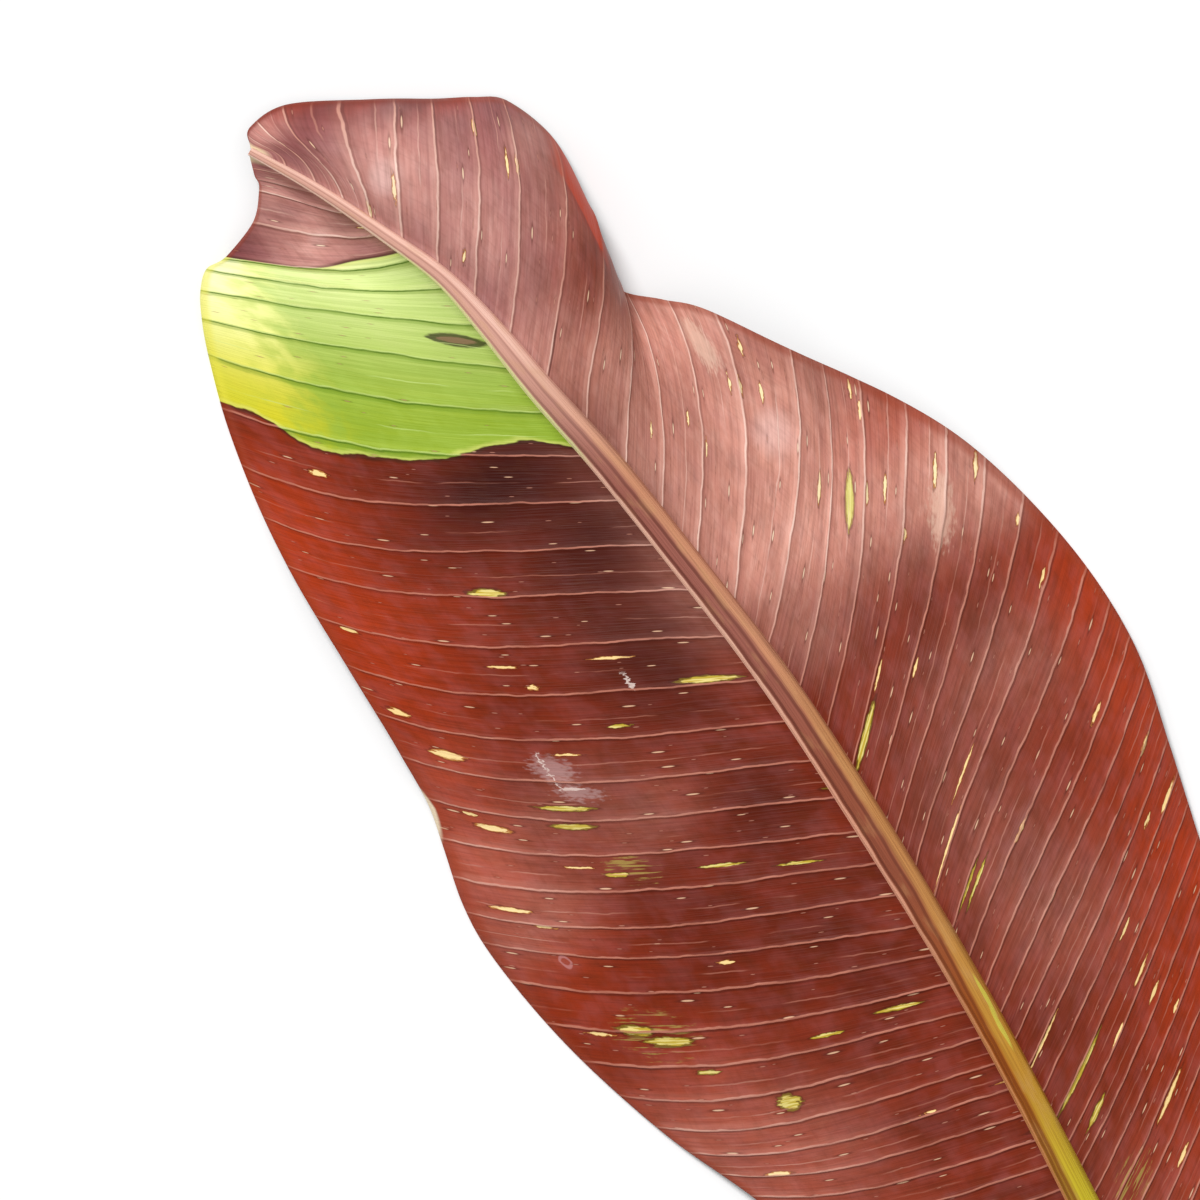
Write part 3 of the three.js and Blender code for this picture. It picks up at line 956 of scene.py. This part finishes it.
def pigment(tree, place, station, bloom_and_sheen_colour, warm_colour):
    """Red of the blade's back under its bloom, with painted sheen, highlights, shade and light through the
    margins, and the masks that other finishes follow.
    """
    _, bloom_and_sheen, painted_shade, warm = parts_of(tree, "leaf_tint_sheen_and_shade")
    cloud = add(tree, RANGE, (grain(tree, place, 11, 18, 4.0, 1.0), 0.3, 0.7), **SOFT)
    patch = add(tree, RANGE, (grain(tree, place, 2.5, 5, 3.0, 4.0), 0.3, 0.7), **SOFT)
    streak = add(tree, RANGE, (grain(tree, place, 0.7, 20, 3.0, 5.0), 0.4, 0.7), **SOFT)
    mauve = add(tree, RANGE, (grain(tree, place, 4.5, 6.0, 2.0, 51.0), 0.35, 0.75), **SOFT)
    umber = add(tree, RANGE, (grain(tree, place, 2.8, 5.5, 3.0, 57.0), 0.42, 0.75), **SOFT)
    ladder = add(tree, RANGE, (grain(tree, place, 6, 0.8, 2.0, 61.0), 0.5, 0.72), **SOFT)
    # Painted highlight on the brightest of the sheen
    painted_highlight = add(tree, RANGE, (bloom_and_sheen, 0.88, 1.0), **SOFT)
    near_tip = add(tree, RANGE, (station, 305.0, 335.0), **SOFT)
    patchy = add(tree, RANGE, (cloud, 0.0, 1.0, 0.85, 1.0))
    bloom_and_sheen = add(tree, MATH, (bloom_and_sheen, patchy), operation="MULTIPLY")
    # Painted glints of light scattered through the sheen
    glint = add(tree, RANGE, (grain(tree, place, 1.8, 4.0, 3.0, 71.0), 0.4, 0.75), **SOFT)
    glint = add(tree, MATH, (glint, bloom_and_sheen), operation="MULTIPLY")
    tissue = [
        (cloud, 1, srgb("842c16")),
        (patch, 0.3, srgb("782d15")),
        # Waxy bloom, with painted sheen where the back faces the light
        (bloom_and_sheen, 1, bloom_and_sheen_colour),
        (glint, 0.2, srgb("ffcfc0")),
        (near_tip, 0.16, srgb("8f809c")),
        (painted_highlight, 0.5, srgb("f2ccc4")),
        # Painted light through the thin margins, in orange
        (warm, 1, warm_colour),
        (mauve, 0.12, srgb("b87478")),
        # Painted shade of the hollows and of the slopes turned from the light
        (painted_shade, 1, srgb("380c05")),
        (umber, 0.2, srgb("5a2a10")),
        (ladder, 0.08, srgb("4a1c10")),
        (streak, 0.18, srgb("45150c")),
    ]
    return painted(tree, srgb("6e230f"), tissue), bloom_and_sheen, warm, cloud, streak


def fleck_layers(tree, place, frayed, bloom_and_sheen, sector):
    """Where the red is missing: pale and lime flecks, each in a dark outline, and fine dashes."""
    pale = flecked(tree, frayed, PALE_FLECKS)
    lime = flecked(tree, frayed, LIME_FLECKS)
    any_fleck = add(tree, MATH, (pale, lime), operation="MINIMUM")
    fleck_rim = add(tree, RANGE, (any_fleck, 1.7, 1.1), **SOFT)
    pale_ring = add(tree, RANGE, (pale, 1.15, 0.95), **SOFT)
    pale_core = add(tree, RANGE, (pale, 0.85, 0.6), **SOFT)
    pale_tone = painted(tree, srgb("f8d894"), [(bloom_and_sheen, 0.7, srgb("fff4cc"))])
    lime_ring = add(tree, RANGE, (lime, 1.15, 0.95), **SOFT)
    lime_core = add(tree, RANGE, (lime, 0.85, 0.6), **SOFT)
    cream_thread = add(tree, RANGE, (grain(tree, place, 0.4, 7, 2.0, 43.0), 0.48, 0.58), **SOFT)
    lime_tone = painted(tree, srgb("bfa534"), [(cream_thread, 0.7, srgb("f2e294"))])
    lime_tone = painted(tree, lime_tone, [(bloom_and_sheen, 0.6, srgb("eef0a0"))])
    lime_outline = painted(tree, srgb("78601a"), [(bloom_and_sheen, 0.8, srgb("c8a868"))])
    streaked = add(tree, RANGE, (flecked(tree, ragged(tree, place, 2.5, 4), STREAKED), 1.3, 0.5), **SOFT)
    thin = add(tree, RANGE, (grain(tree, place, 0.55, 9, 2.0, 41.0), 0.54, 0.62), **SOFT)
    streaked = add(tree, MATH, (streaked, thin), operation="MULTIPLY")
    red_only = add(tree, MATH, (1.0, sector), operation="SUBTRACT")
    dash, dash_rim = dashes(tree, place, (3.4, 26), 0.2, 0.65, 3.0)
    dash = add(tree, MATH, (dash, red_only), operation="MULTIPLY")
    dash_rim = add(tree, MATH, (dash_rim, red_only), operation="MULTIPLY")
    dash_tone = painted(tree, srgb("e6b894"), [(bloom_and_sheen, 1, srgb("ffe6c8"))])
    tick, tick_rim = dashes(tree, place, (2.2, 14), 0.12, 0.45, 31.0)
    return [
        (tick_rim, 0.3, srgb("451811")),
        (tick, 0.6, srgb("c98a74")),
        (dash_rim, 0.5, srgb("4a1c14")),
        (dash, 0.85, dash_tone),
        (streaked, 0.75, srgb("a8904a")),
        (fleck_rim, 0.5, srgb("3c160a")),
        (pale_ring, 0.9, srgb("b9783a")),
        (pale_core, 1, pale_tone),
        (lime_ring, 0.9, lime_outline),
        (lime_core, 1, lime_tone),
    ]


def scar_layers(tree, place, on_right, sector):
    """Grazes in the bloom, the painted shade of the pleat by the bulge, a pale ring and the brown lens."""
    scuff = flecked(tree, ragged(tree, place, 2.5, 4), SCUFFS)
    scuff = add(tree, RANGE, (scuff, 1.5, 0.3), **SOFT)
    scuff_tone = painted(tree, srgb("c4a4a2"), [(on_right, 1, srgb("eccbb4"))])
    pleat_shade = add(tree, RANGE, (flecked(tree, place, PLEAT_SHADES), 1.3, 0.6), **SOFT)
    ring = line_along(tree, flecked(tree, place, RING_SPOTS), 0.9, 0.5, 1.0)
    lens = flecked(tree, ragged(tree, place, 0.2, 0.8), BROWN_LENS)
    in_sector = add(tree, MATH, (sector, 0.5), operation="GREATER_THAN")
    lens_rim = add(tree, RANGE, (lens, 1.4, 0.9, 0.0, in_sector), **SOFT)
    lens_core = add(tree, RANGE, (lens, 0.6, 0.35, 0.0, in_sector), **SOFT)
    return [
        (scuff, 0.45, scuff_tone),
        (pleat_shade, 0.7, srgb("4a1e1c")),
        (ring, 0.6, srgb("c88a88")),
        (lens_rim, 0.85, srgb("2e2214")),
        (lens_core, 0.8, srgb("8a6d4e")),
    ]


def vein_layers(tree, place, bloom_and_sheen, sector):
    """Side veins, each with painted shade in the crease beside it, and on bloom a painted lit side and a
    painted shaded side.

    In the green sector the veins are faint, and soft green painted shade lies along them.
    """
    beside, spacing = beside_veins(tree)
    broken = add(tree, RANGE, (grain(tree, place, 6, 9, 2.0, 17.0), 0.3, 0.6, 0.65, 1.0))
    faint = add(tree, RANGE, (grain(tree, place, 6, 16, 2.0, 23.0), 0.42, 0.62), **SOFT)
    in_sector = add(tree, MATH, (sector, 0.45), operation="MULTIPLY")
    # Painted shade: soft green along the veins in the sector
    shadow = line_along(tree, beside, -0.8, 1.1, in_sector)
    # Painted light on the tip side of each vein's ridge and painted shade on its base side, on the sheen
    lit_side = line_along(tree, beside, 0.5, 1.3, bloom_and_sheen)
    shaded_side = line_along(tree, beside, -1.2, 1.3, bloom_and_sheen)
    # Painted shade in the crease on the base side of each vein
    crease = line_along(tree, beside, -0.42, 0.34, broken)
    crease_shade_strength = add(tree, RANGE, (sector, 0.0, 1.0, 0.4, 0.85))
    crease = add(tree, MATH, (crease, crease_shade_strength), operation="MULTIPLY")
    red_crease_shade = painted(tree, srgb("3f150d"), [(bloom_and_sheen, 0.8, srgb("7e443a"))])
    crease_shade_tone = painted(tree, red_crease_shade, [(sector, 1, srgb("57791c"))])
    third = add(tree, MATH, (spacing, 0.42), operation="MULTIPLY")
    minor = line_along(tree, beside, third, 0.2, faint)
    vein = line_along(tree, beside, 0.0, 0.3, broken)
    vein_strength = add(tree, RANGE, (sector, 0.0, 1.0, 0.9, 0.5))
    vein = add(tree, MATH, (vein, vein_strength), operation="MULTIPLY")
    red_vein = painted(tree, srgb("c57e69"), [(bloom_and_sheen, 1, srgb("ffdfd0"))])
    vein_tone = painted(tree, red_vein, [(sector, 1, srgb("d3e690"))])
    return [
        (shadow, 1, srgb("6f9420")),
        (shaded_side, 0.3, srgb("8f4c40")),
        (lit_side, 0.22, srgb("ffc8b6")),
        (crease, 1, crease_shade_tone),
        (minor, 0.4, vein_tone),
        (vein, 1, vein_tone),
    ]


def margin_layers(tree, place, station, share, on_right, warm, sector):
    """The margin's thin rim, red on the bulge's crest and flank, with painted shade where the crest curls
    down and a painted orange glow along the flank's edge, its dry stretch, and the pale tip.
    """
    rim = add(tree, RANGE, (share, 0.96, 0.985), **SOFT)
    rim_tone = painted(tree, srgb("8f3a22"), [(warm, 0.6, srgb("b8441e")), (sector, 1, srgb("e6dd48"))])
    past_valley = add(tree, RANGE, (station, 300.0, 306.0, 0.0, on_right), **SOFT)
    on_flank = add(tree, RANGE, (station, 320.0, 311.0, 0.0, past_valley), **SOFT)
    # The flank's upper edge climbs towards the margin as it nears the tip
    past_crest = add(tree, MATH, (station, -0.006, share), operation="MULTIPLY_ADD")
    flank = add(tree, RANGE, (past_crest, -1.13, -1.085, 0.0, on_flank), **SOFT)
    # Painted glow of light through the thin orange edge of the bulge
    bright_rim = add(tree, RANGE, (past_crest, -1.09, -1.07, 0.0, on_flank), **SOFT)
    # Painted shade where the crest's margin curls down
    on_crest = add(tree, RANGE, (station, 334.0, 346.0, 0.0, on_right), **SOFT)
    dark_rim_shade = add(tree, RANGE, (share, 0.93, 0.985, 0.0, on_crest), **SOFT)
    dry = add(tree, RANGE, (flecked(tree, place, DRY_EDGE), 1.15, 0.75), **SOFT)
    tip_spot = add(tree, RANGE, (station, 384.0, 387.5), **SOFT)
    return [
        (rim, 0.5, rim_tone),
        (dark_rim_shade, 0.6, srgb("74281a")),
        (flank, 0.75, srgb("8c3222")),
        (bright_rim, 0.8, srgb("c43e18")),
        (dry, 0.9, srgb("f0dfc0")),
        (tip_spot, 0.8, srgb("f2dcb4")),
    ]


def lamina_back(bloom_and_sheen_colour, warm_colour):
    """Back of the blade: living leaf tissue, red with anthocyanin under a waxy bloom.

    Satin, with pale raised veins. Where it faces the light, painted sheen turns the bloom dusty pink, and
    painted shade darkens its hollows.
    """
    material, tree, shader = new_material("red_lamina_waxy_back")
    place, station, place_across, share = parts_of(tree, "leaf_place")
    on_right = add(tree, MATH, (place_across, 0.0), operation="GREATER_THAN")
    frayed = ragged(tree, place, 0.3, 1.8)
    colour, bloom_and_sheen, warm, cloud, streak = pigment(tree, place, station, bloom_and_sheen_colour, warm_colour)
    sector, line, lip, green = green_sector(tree, place, station, share)
    scratch = add(tree, RANGE, (flecked(tree, frayed, SCRATCHES), 1.2, 0.7), **SOFT)
    stem = add(tree, RANGE, (station, *STEM_TURNS), **SOFT)
    layers = [
        (sector, 1, green),
        (lip, 0.5, srgb("dfe07a")),
        (line, 0.75, srgb("3f2214")),
        *scar_layers(tree, place, on_right, sector),
        *fleck_layers(tree, place, frayed, bloom_and_sheen, sector),
        (scratch, 0.7, srgb("ead6cc")),
        *vein_layers(tree, place, bloom_and_sheen, sector),
        *margin_layers(tree, place, station, share, on_right, warm, sector),
        (stem, 1, srgb(STEM_COLOUR)),
    ]
    tree.links.new(painted(tree, colour, layers), shader.inputs["Base Color"])

    rough = add(tree, RANGE, (cloud, 0.0, 1.0, 0.42, 0.5))
    tree.links.new(rough, shader.inputs["Roughness"])
    shader.inputs["Specular IOR Level"].default_value = 0.09
    fine = grain(tree, place, 0.35, 8, 2.0, 9.0)
    height = add(tree, MATH, (streak, 0.6, fine), operation="MULTIPLY_ADD")
    bump = add(tree, "ShaderNodeBump", {"Height": height, "Strength": 0.3, "Distance": 0.0002})
    tree.links.new(bump, shader.inputs["Normal"])
    return material


def lamina_face():
    """Face of the blade, turned to the surface: darker burgundy and glossier, with no bloom."""
    material, tree, shader = new_material("red_lamina_glossy_face")
    place, station, _, share = parts_of(tree, "leaf_place")
    beside, _ = beside_veins(tree)
    cloud = add(tree, RANGE, (grain(tree, place, 16, 30, 4.0, 21.0), 0.3, 0.7), **SOFT)
    streak = add(tree, RANGE, (grain(tree, place, 1.1, 45, 3.0, 25.0), 0.4, 0.7), **SOFT)
    colour = painted(tree, srgb("4d1a1a"), [(cloud, 1, srgb("7a2f28")), (streak, 0.25, srgb("34120f"))])
    sector, line, _, green = green_sector(tree, place, station, share)
    lime = flecked(tree, ragged(tree, place, 0.35, 1.4), LIME_FLECKS + PALE_FLECKS)
    on_blade = add(tree, MATH, (share, 0.0), operation="GREATER_THAN")
    lime = add(tree, RANGE, (lime, 1.0, 0.75, 0.0, on_blade), **SOFT)
    vein = line_along(tree, beside, 0.0, 0.4, 0.5)
    stem = add(tree, RANGE, (station, *STEM_TURNS), **SOFT)
    layers = [
        (sector, 1, green),
        (sector, 0.25, srgb("4f6b1e")),
        (line, 0.7, srgb("2f1a10")),
        (lime, 0.9, srgb("aab64a")),
        (vein, 0.5, srgb("34120f")),
        (stem, 1, srgb("a2962e")),
    ]
    tree.links.new(painted(tree, colour, layers), shader.inputs["Base Color"])
    rough = add(tree, RANGE, (cloud, 0.0, 1.0, 0.28, 0.38))
    tree.links.new(rough, shader.inputs["Roughness"])
    return material


def midrib_back():
    """Round back of the midrib: smooth fibrous tissue, pink at the tip and yellow-green at the base.

    Fibres draw it out into bands: a thin pale edge on the left, red-brown, then gold.
    """
    material, tree, shader = new_material("midrib_smooth_fibrous")
    _, station, _, _ = parts_of(tree, "leaf_place")
    turn = add(tree, "ShaderNodeAttribute", out="Fac", attribute_name="rib_across")
    along = add(tree, "ShaderNodeCombineXYZ", (turn, station))
    fibre = add(tree, RANGE, (grain(tree, along, 0.07, 26, 3.0, 2.0), 0.4, 0.7), **SOFT)
    patch = add(tree, RANGE, (grain(tree, along, 0.8, 9, 3.0, 6.0), 0.5, 0.75), **SOFT)
    sway = add(tree, RANGE, (grain(tree, station, 14, 14, 2.0, 8.0), 0.3, 0.7, -0.03, 0.03))
    turn = add(tree, MATH, (turn, sway), operation="ADD")
    base = add(tree, RANGE, (station, 145.0, 100.0), **SOFT)
    stem = add(tree, RANGE, (station, *STEM_TURNS), **SOFT)
    low = add(tree, RANGE, (station, 195.0, 145.0), **SOFT)
    middle = add(tree, RANGE, (station, 255.0, 205.0), **SOFT)
    tip = add(tree, RANGE, (station, 285.0, 335.0), **SOFT)
    in_green = add(tree, RANGE, (station, 294.0, 302.0), **SOFT)
    past_green = add(tree, RANGE, (station, 352.0, 357.0), **SOFT)

    shade = [
        (middle, 1, srgb("934f38")),
        (low, 1, srgb("9a5014")),
        (base, 1, srgb("a8852a")),
        (stem, 1, srgb(STEM_COLOUR)),
        (tip, 1, srgb("daa492")),
    ]
    shade_tone = painted(tree, srgb("9c5d50"), shade)
    gold = [
        (middle, 1, srgb("c48850")),
        (low, 1, srgb("c08c32")),
        (base, 1, srgb("c8bd28")),
        (stem, 1, srgb(STEM_COLOUR)),
        (tip, 1, srgb("f4c6b4")),
    ]
    gold_tone = painted(tree, srgb("cd8e6c"), gold)
    edge = [
        (middle, 1, srgb("f0ae90")),
        (low, 1, srgb("cf8c58")),
        (in_green, 1, srgb("eee6a8")),
        (past_green, 1, srgb("f6d0be")),
    ]
    edge_tone = painted(tree, srgb("ffcab0"), edge)
    dark_tone = painted(tree, srgb("5c2a1e"), [(tip, 0.8, srgb("b88476")), (low, 0.8, srgb("74380c"))])
    groove_at = add(tree, RANGE, (low, 0.0, 1.0, 0.06, -0.4))
    past_groove = add(tree, MATH, (turn, groove_at), operation="SUBTRACT")
    gold = add(tree, RANGE, (past_groove, 0.02, 0.4), **SOFT)
    fade = add(tree, RANGE, (turn, 0.72, 1.0), **SOFT)
    # Painted shade of a groove along the rib's back
    groove = line_along(tree, turn, groove_at, 0.14, 1.0)
    edge_narrow = add(tree, RANGE, (base, 0.0, 1.0, -0.72, -0.82))
    past_edge = add(tree, MATH, (turn, edge_narrow), operation="SUBTRACT")
    edge = add(tree, RANGE, (past_edge, 0.0, -0.1), **SOFT)
    edge_shadow = line_along(tree, past_edge, 0.1, 0.12, 1.0)
    place = add(tree, "ShaderNodeCombineXYZ", (station, turn))
    lime = add(tree, RANGE, (flecked(tree, place, RIB_LIME), 1.2, 0.6), **SOFT)
    layers = [
        (gold, 1, gold_tone),
        (fade, 0.5, shade_tone),
        (fibre, 0.3, dark_tone),
        (patch, 0.25, srgb("c79a66")),
        (lime, 0.85, srgb("cbc04c")),
        (groove, 0.55, dark_tone),
        (edge_shadow, 0.6, dark_tone),
        (edge, 0.95, edge_tone),
    ]
    tree.links.new(painted(tree, shade_tone, layers), shader.inputs["Base Color"])
    shader.inputs["Roughness"].default_value = 0.4
    shader.inputs["Specular IOR Level"].default_value = 0.15
    bump = add(tree, "ShaderNodeBump", {"Height": fibre, "Strength": 0.3, "Distance": 0.0002})
    tree.links.new(bump, shader.inputs["Normal"])
    return material


def petiole_cut():
    """Freshly cut end of the petiole: pale wet pith, with small air channels."""
    material, tree, shader = new_material("petiole_cut_pith")
    position = add(tree, "ShaderNodeTexCoord", out="Object")
    cells = add(tree, "ShaderNodeTexVoronoi", {"Vector": position, "Scale": 900.0})
    wall = add(tree, RANGE, (cells, 0.15, 0.4), **SOFT)
    tree.links.new(painted(tree, srgb("8b8a4a"), [(wall, 1, srgb("dfe0b4"))]), shader.inputs["Base Color"])
    shader.inputs["Roughness"].default_value = 0.4
    return material


# ---------------------------------------------------------------------------------------------------
# Stage
# ---------------------------------------------------------------------------------------------------

# The view's middle in the leaf's drawn millimetres, its width, and how far it is turned from the leaf
VIEW_CENTRE = (-11.1, 271.2)
VIEW_WIDTH = 252.0
VIEW_TURN = math.radians(31.5)
# The whole leaf's length over all and the middle of its plan, in the same millimetres
DRAWN_EXTENT = 395.2
DRAWN_MIDDLE = (5.2, 197.2)
LENS_MM = 250.0
SENSOR_MM = 36.0


def pale_floor(size, colour):
    """Plain floor under the leaf, matt, so that only a soft shadow shows on it."""
    mesh = bpy.data.meshes.new("floor")
    half = size / 2
    corners = [(-half, -half, 0), (half, -half, 0), (half, half, 0), (-half, half, 0)]
    mesh.from_pydata([(x, y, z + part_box(NODE)[0][2]) for x, y, z in corners], [], [(0, 1, 2, 3)])
    floor = bpy.data.objects.new("floor", mesh)
    bpy.context.scene.collection.objects.link(floor)
    material, _, shader = new_material("pale_studio_floor")
    shader.inputs["Base Color"].default_value = colour
    shader.inputs["Roughness"].default_value = 0.9
    mesh.materials.append(material)


def sun(name, strength, spread, azimuth, elevation):
    """Soft distant light. Azimuth is measured from +Y towards +X, in the leaf's frame."""
    data = bpy.data.lights.new(name, "SUN")
    data.energy = strength
    data.angle = math.radians(spread)
    light = bpy.data.objects.new(name, data)
    a, e = math.radians(azimuth), math.radians(elevation)
    towards = Vector((math.sin(a) * math.cos(e), math.cos(a) * math.cos(e), math.sin(e)))
    light.rotation_euler = towards.to_track_quat("Z", "Y").to_euler()
    bpy.context.scene.collection.objects.link(light)


def camera_above():
    """Looks straight down, turned so that the leaf runs from upper left to lower right."""
    low, high = (np.array(corner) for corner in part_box(NODE))
    scale = (high[1] - low[1]) / DRAWN_EXTENT
    target = np.subtract(VIEW_CENTRE, DRAWN_MIDDLE) * scale + (low[:2] + high[:2]) / 2
    data = bpy.data.cameras.new("camera")
    data.lens = LENS_MM
    data.sensor_width = SENSOR_MM
    distance = VIEW_WIDTH * scale * LENS_MM / SENSOR_MM
    camera = bpy.data.objects.new("camera", data)
    camera.location = (target[0], target[1], low[2] + distance)
    camera.rotation_euler = (0, 0, -VIEW_TURN)
    data.clip_end = 50
    bpy.context.scene.collection.objects.link(camera)
    bpy.context.scene.camera = camera


# ---------------------------------------------------------------------------------------------------
# Settings and operators
# ---------------------------------------------------------------------------------------------------


class LeafSettings(bpy.types.PropertyGroup):
    """Sizes and colours of the leaf that a user would change."""

    margin_thickness: FloatProperty(
        name="Margin thickness",
        description="Blade at its thin outer part",
        default=0.00055,
        unit="LENGTH",
    )
    root_thickness: FloatProperty(
        name="Root thickness",
        description="Blade beside the midrib",
        default=0.0013,
        unit="LENGTH",
    )
    rib_rise: FloatProperty(
        name="Midrib rise",
        description="Round back of the midrib above the blade",
        default=0.0029,
        unit="LENGTH",
    )
    groove: FloatProperty(
        name="Midrib groove",
        description="Channel along the midrib's face",
        default=0.0012,
        unit="LENGTH",
    )
    vein_height: FloatProperty(
        name="Vein height",
        description="Ridge on each side vein",
        default=0.0003,
        unit="LENGTH",
    )
    panel_hollow: FloatProperty(
        name="Panel hollow",
        description="Dip of the blade between two side veins",
        default=0.0002,
        unit="LENGTH",
    )
    # Colour of the waxy bloom together with the painted sheen of the lit back
    bloom_and_sheen: FloatVectorProperty(
        name="Bloom",
        description="Waxy pink of the lit back",
        subtype="COLOR",
        size=4,
        default=srgb("e9a592"),
    )
    # Orange near the margins, painted for light shining through the thin tissue
    warm: FloatVectorProperty(
        name="Warm margin",
        description="Orange-red near the margins",
        subtype="COLOR",
        size=4,
        default=srgb("b43b15"),
    )


class StageSettings(bpy.types.PropertyGroup):
    """The stage's floor and lights."""

    floor_size: FloatProperty(
        name="Floor size",
        description="Side of the floor",
        default=12.0,
        unit="LENGTH",
    )
    key_strength: FloatProperty(
        name="Key light",
        description="Strength of the main light",
        default=2.55,
    )
    sky_strength: FloatProperty(
        name="Sky light",
        description="Strength of the even light",
        default=0.42,
    )
    floor_colour: FloatVectorProperty(
        name="Floor colour",
        description="Pale floor",
        subtype="COLOR",
        size=4,
        default=srgb("fafafa"),
    )


class LEAF_OT_banana_leaf(bpy.types.Operator):
    """Build the banana leaf: blade, midrib and petiole as one skin with raised side veins"""

    bl_idname = "leaf.banana_leaf"
    bl_label = "Banana leaf"

    def execute(self, context):
        settings = context.scene.leaf_settings
        shape = {
            "thin": settings.margin_thickness / MM,
            "root": settings.root_thickness / MM,
            "rise": settings.rib_rise / MM,
            "groove": settings.groove / MM,
        }
        leaf = leaf_object(shape)
        back = lamina_back(tuple(settings.bloom_and_sheen), tuple(settings.warm))
        materials = [back, lamina_face(), midrib_back(), petiole_cut()]
        sizes = {"Vein height": settings.vein_height, "Panel hollow": settings.panel_hollow}
        raise_veins(leaf, materials, sizes)
        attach(leaf, BODY)
        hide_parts(NODE)
        return {"FINISHED"}


class LEAF_OT_stage(bpy.types.Operator):
    """Lay the floor, set the lights and place the camera above the leaf"""

    bl_idname = "leaf.stage"
    bl_label = "Stage"

    def execute(self, context):
        stage = context.scene.stage_settings
        pale_floor(stage.floor_size, tuple(stage.floor_colour))
        sun("key", stage.key_strength, spread=25, azimuth=0, elevation=58)
        world = bpy.data.worlds.new("studio_sky")
        world.use_nodes = True
        background = world.node_tree.nodes["Background"]
        background.inputs["Color"].default_value = (1, 1, 1, 1)
        background.inputs["Strength"].default_value = stage.sky_strength
        context.scene.world = world
        context.scene.view_settings.view_transform = "Standard"
        camera_above()
        return {"FINISHED"}


class LEAF_PT_panel(bpy.types.Panel):
    """Lists the leaf's operators and settings"""

    bl_label = "Banana leaf"
    bl_space_type = "VIEW_3D"
    bl_region_type = "UI"
    bl_category = "Banana leaf"

    def draw(self, context):
        for operator in (LEAF_OT_banana_leaf, LEAF_OT_stage):
            self.layout.operator(operator.bl_idname)
        for group in (context.scene.leaf_settings, context.scene.stage_settings):
            for name in group.__annotations__:
                self.layout.prop(group, name)


CLASSES = (LeafSettings, StageSettings, LEAF_OT_banana_leaf, LEAF_OT_stage, LEAF_PT_panel)


def register():
    for cls in CLASSES:
        bpy.utils.register_class(cls)
    bpy.types.Scene.leaf_settings = PointerProperty(type=LeafSettings)
    bpy.types.Scene.stage_settings = PointerProperty(type=StageSettings)


def unregister():
    del bpy.types.Scene.stage_settings
    del bpy.types.Scene.leaf_settings
    for cls in reversed(CLASSES):
        bpy.utils.unregister_class(cls)


def main():
    register()
    bpy.ops.leaf.stage()
    bpy.ops.leaf.banana_leaf()


if __name__ == "__main__":
    main()
